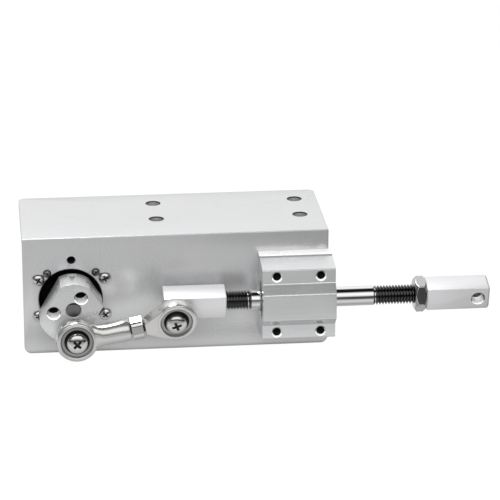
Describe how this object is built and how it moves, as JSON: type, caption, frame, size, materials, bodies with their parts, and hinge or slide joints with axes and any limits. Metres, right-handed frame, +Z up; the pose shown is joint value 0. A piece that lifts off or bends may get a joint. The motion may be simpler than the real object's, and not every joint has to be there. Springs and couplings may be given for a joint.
{
  "type": "electric linear actuator",
  "caption": "Reciprocating electric linear actuator: gear motor on an angle bracket turns a crank whose rod-end link pushes a chromed rod through a linear bearing block.",
  "frame": {"origin": "centre of the four flange holes, on the flange's top face", "axes": "+X along the guide rod, outwards; +Y from the plate's front towards the motor; +Z up, out of the flange"},
  "size_m": [0.1906, 0.093, 0.05],
  "materials": {
    "satin_anodised": "satin clear anodised",
    "extruded_aluminium": "extruded, drawn lines along the rod",
    "milled_aluminium": "milled, bright satin",
    "chromed_rod": "ground and chromed, threads dark",
    "zinc_plated": "bright zinc plate",
    "black_oxide": "black oxide",
    "nickel_plated": "nickel plate",
    "bearing_steel": "ground steel",
    "gear_steel": "hobbed steel",
    "core_laminations": "stacked steel sheet",
    "copper": "enamelled copper",
    "ferrite": "sintered ferrite",
    "carbon": "pressed carbon",
    "bronze": "sintered bronze",
    "black_paint": "black paint",
    "brass_tags": "bright brass",
    "resin": "moulded resin",
    "rubber": "nitrile rubber",
    "cast_zinc": "die cast, satin",
    "motor_steel": "drawn and plated steel",
    "black_plastic": "moulded plastic"
  },
  "bodies": {
    "bracket": {"angle_bracket": "satin_anodised", "motor_screws": "zinc_plated", "gearbox_screws": "black_oxide", "block_screws": "black_oxide", "bearing_block": "extruded_aluminium", "bearing_sleeve": "bearing_steel", "bearing_cage": "resin", "bearing_seals": "rubber", "retaining_rings": "black_oxide", "gearbox_front_plate": "black_paint", "output_bush": "bronze", "gearbox_housing": "cast_zinc", "gearbox_back_plate": "cast_zinc", "motor_can": "motor_steel", "motor_end_cap": "black_plastic", "motor_terminals": "brass_tags", "ring_gear": "gear_steel", "motor_magnets": "ferrite", "motor_bushes": "bronze", "motor_brushes": "carbon"},
    "crank": {"crank": "milled_aluminium", "crank_set_screw": "black_oxide", "output_shaft": "bearing_steel", "crank_standoff": "zinc_plated", "planet_carrier": "gear_steel"},
    "planet_a": {"planet_gear_a": "gear_steel"},
    "planet_b": {"planet_gear_b": "gear_steel"},
    "planet_c": {"planet_gear_c": "gear_steel"},
    "rotor": {"sun_pinion": "gear_steel", "armature_shaft": "bearing_steel", "armature_core": "core_laminations", "armature_windings": "copper", "commutator": "copper"},
    "slider": {"guide_rod": "chromed_rod", "drive_block": "milled_aluminium", "lock_nut": "zinc_plated", "end_block": "milled_aluminium", "small_end_standoff": "zinc_plated", "small_end_ball": "black_oxide", "small_end_screw": "zinc_plated"},
    "connecting_rod": {"big_rod_end": "nickel_plated", "small_rod_end": "nickel_plated", "jam_nut": "nickel_plated", "big_end_ball": "black_oxide", "big_end_race": "bearing_steel", "big_end_screw": "zinc_plated", "small_end_race": "bearing_steel"}
  },
  "joints": [
    {"name": "rod_slide", "type": "slide", "parent": "bracket", "child": "slider", "axis": [1, 0, 0], "range_m": [-0.00088, 0.01029]},
    {"name": "crank_turn", "type": "hinge", "parent": "bracket", "child": "crank", "pos_m": [-0.0664, -0.03, -0.0255], "axis": [0, -1, 0], "range_deg": [-7.02, 82.23]},
    {"name": "connecting_rod_swing", "type": "hinge", "parent": "slider", "child": "connecting_rod", "pos_m": [-0.0254, -0.0525, -0.02837], "axis": [0, -1, 0], "range_deg": [-13.94, 1.2]},
    {"name": "planet_a_spin", "type": "hinge", "parent": "crank", "child": "planet_a", "pos_m": [-0.0664, -0.0123, -0.01605], "axis": [0, -1, 0], "range_deg": [-231, 20]},
    {"name": "planet_b_spin", "type": "hinge", "parent": "crank", "child": "planet_b", "pos_m": [-0.07458, -0.0123, -0.03022], "axis": [0, -1, 0], "range_deg": [-231, 20]},
    {"name": "planet_c_spin", "type": "hinge", "parent": "crank", "child": "planet_c", "pos_m": [-0.05822, -0.0123, -0.03022], "axis": [0, -1, 0], "range_deg": [-231, 20]},
    {"name": "rotor_spin", "type": "hinge", "parent": "bracket", "child": "rotor", "pos_m": [-0.0664, 0, -0.0255], "axis": [0, -1, 0], "range_deg": [-32, 371]}
  ],
  "couplings": [
    {"joint": "crank_turn", "follows": "rod_slide", "rad_per_m": 139.42},
    {"joint": "connecting_rod_swing", "follows": "rod_slide", "rad_per_m": -23.6},
    {"joint": "planet_a_spin", "follows": "rod_slide", "rad_per_m": -390.37},
    {"joint": "planet_b_spin", "follows": "rod_slide", "rad_per_m": -390.37},
    {"joint": "planet_c_spin", "follows": "rod_slide", "rad_per_m": -390.37},
    {"joint": "rotor_spin", "follows": "rod_slide", "rad_per_m": 627.38}
  ]
}
